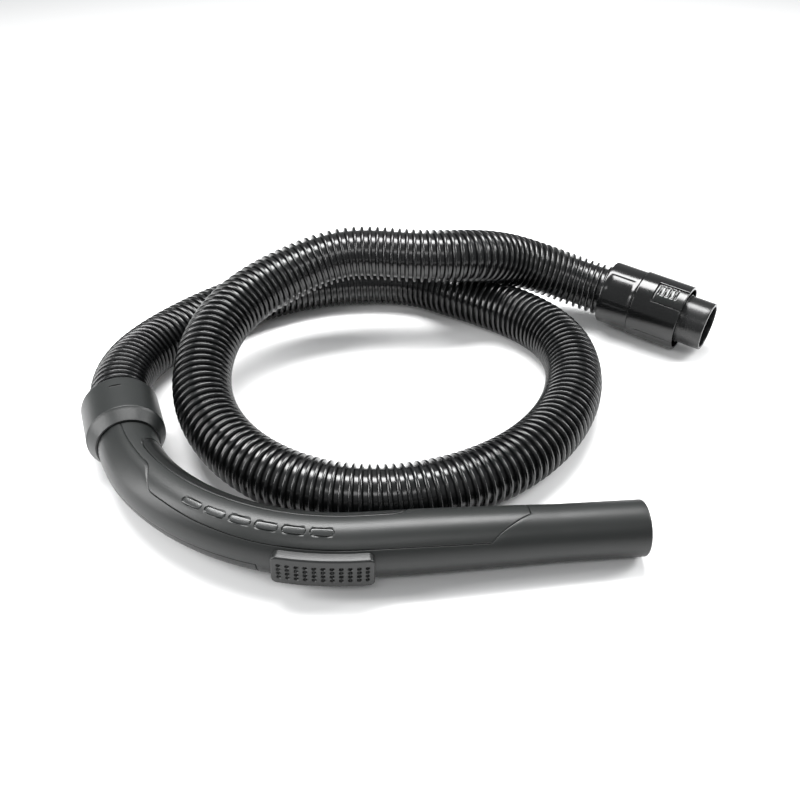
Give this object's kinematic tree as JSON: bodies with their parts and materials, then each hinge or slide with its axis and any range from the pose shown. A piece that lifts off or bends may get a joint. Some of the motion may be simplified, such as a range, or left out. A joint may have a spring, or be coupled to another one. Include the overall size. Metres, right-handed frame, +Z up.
{
  "type": "vacuum cleaner hose",
  "caption": "Corrugated suction hose with a bent hand grip that swivels in its collar, a sliding bleed valve, a wand spigot and a latching machine plug.",
  "frame": {"origin": "on the floor, under the middle of the box round the grip, the collar and the plug", "axes": "+X along the way the wand leaves the grip, +Z up, with the hose coil lying on the floor"},
  "size_m": [0.4803, 0.3542, 0.0927],
  "materials": {
    "hose": "gloss",
    "collar": "fine grain",
    "sleeve": "plain",
    "seal": "plain",
    "thrust_ring": "plain",
    "grip_core": "fine grain",
    "cover_top": "fine grain",
    "cover_bottom": "fine grain",
    "soft_inlay": "satin",
    "pads": "satin",
    "vent_frame": "plain",
    "slider": "fine grain",
    "plug_cuff": "gloss",
    "plug_spigot": "satin",
    "plug_shell": "gloss",
    "latch": "gloss"
  },
  "bodies": {
    "hose_line": {"hose": "hose", "swivel_collar": "collar", "handle_hose_sleeve": "sleeve", "handle_seal": "seal", "handle_thrust_ring": "thrust_ring", "rear_cuff": "plug_cuff", "machine_hose_sleeve": "sleeve", "machine_seal": "seal", "machine_thrust_ring": "thrust_ring"},
    "grip": {"handle_tube": "grip_core", "grip_cover_top": "cover_top", "grip_cover_bottom": "cover_bottom", "grip_inlay": "soft_inlay", "grip_pads": "pads", "vent_frame": "vent_frame"},
    "bleed_slider": {"suction_slider": "slider", "slider_carrier": "sleeve"},
    "plug": {"machine_spigot": "plug_spigot", "connector_shell": "plug_shell"},
    "upper_latch": {"latch_tab_upper": "latch"},
    "lower_latch": {"latch_tab_lower": "latch"}
  },
  "joints": [
    {"name": "grip_swivel", "type": "hinge", "parent": "hose_line", "child": "grip", "pos_m": [-0.20738, -0.00956, 0.026], "axis": [0.2419, -0.9703, 0], "continuous": true},
    {"name": "slider_slide", "type": "hinge", "parent": "grip", "child": "bleed_slider", "pos_m": [-0.0592, 0.03356, 0.02138], "axis": [0.029, 0.0072, 0.9996], "range_deg": [-3.6, 0]},
    {"name": "plug_swivel", "type": "hinge", "parent": "hose_line", "child": "plug", "pos_m": [0.17878, 0.11663, 0.0287], "axis": [0.7757, -0.6281, -0.061], "continuous": true},
    {"name": "upper_latch_press", "type": "hinge", "parent": "plug", "child": "upper_latch", "pos_m": [0.18453, 0.08816, 0.04402], "axis": [-0.7757, 0.6281, 0.061], "range_deg": [0, 5], "stiffness_Nm_per_rad": 0.3},
    {"name": "lower_latch_press", "type": "hinge", "parent": "plug", "child": "lower_latch", "pos_m": [0.20624, 0.1182, 0.01076], "axis": [-0.7757, 0.6281, 0.061], "range_deg": [0, 5], "stiffness_Nm_per_rad": 0.3}
  ]
}
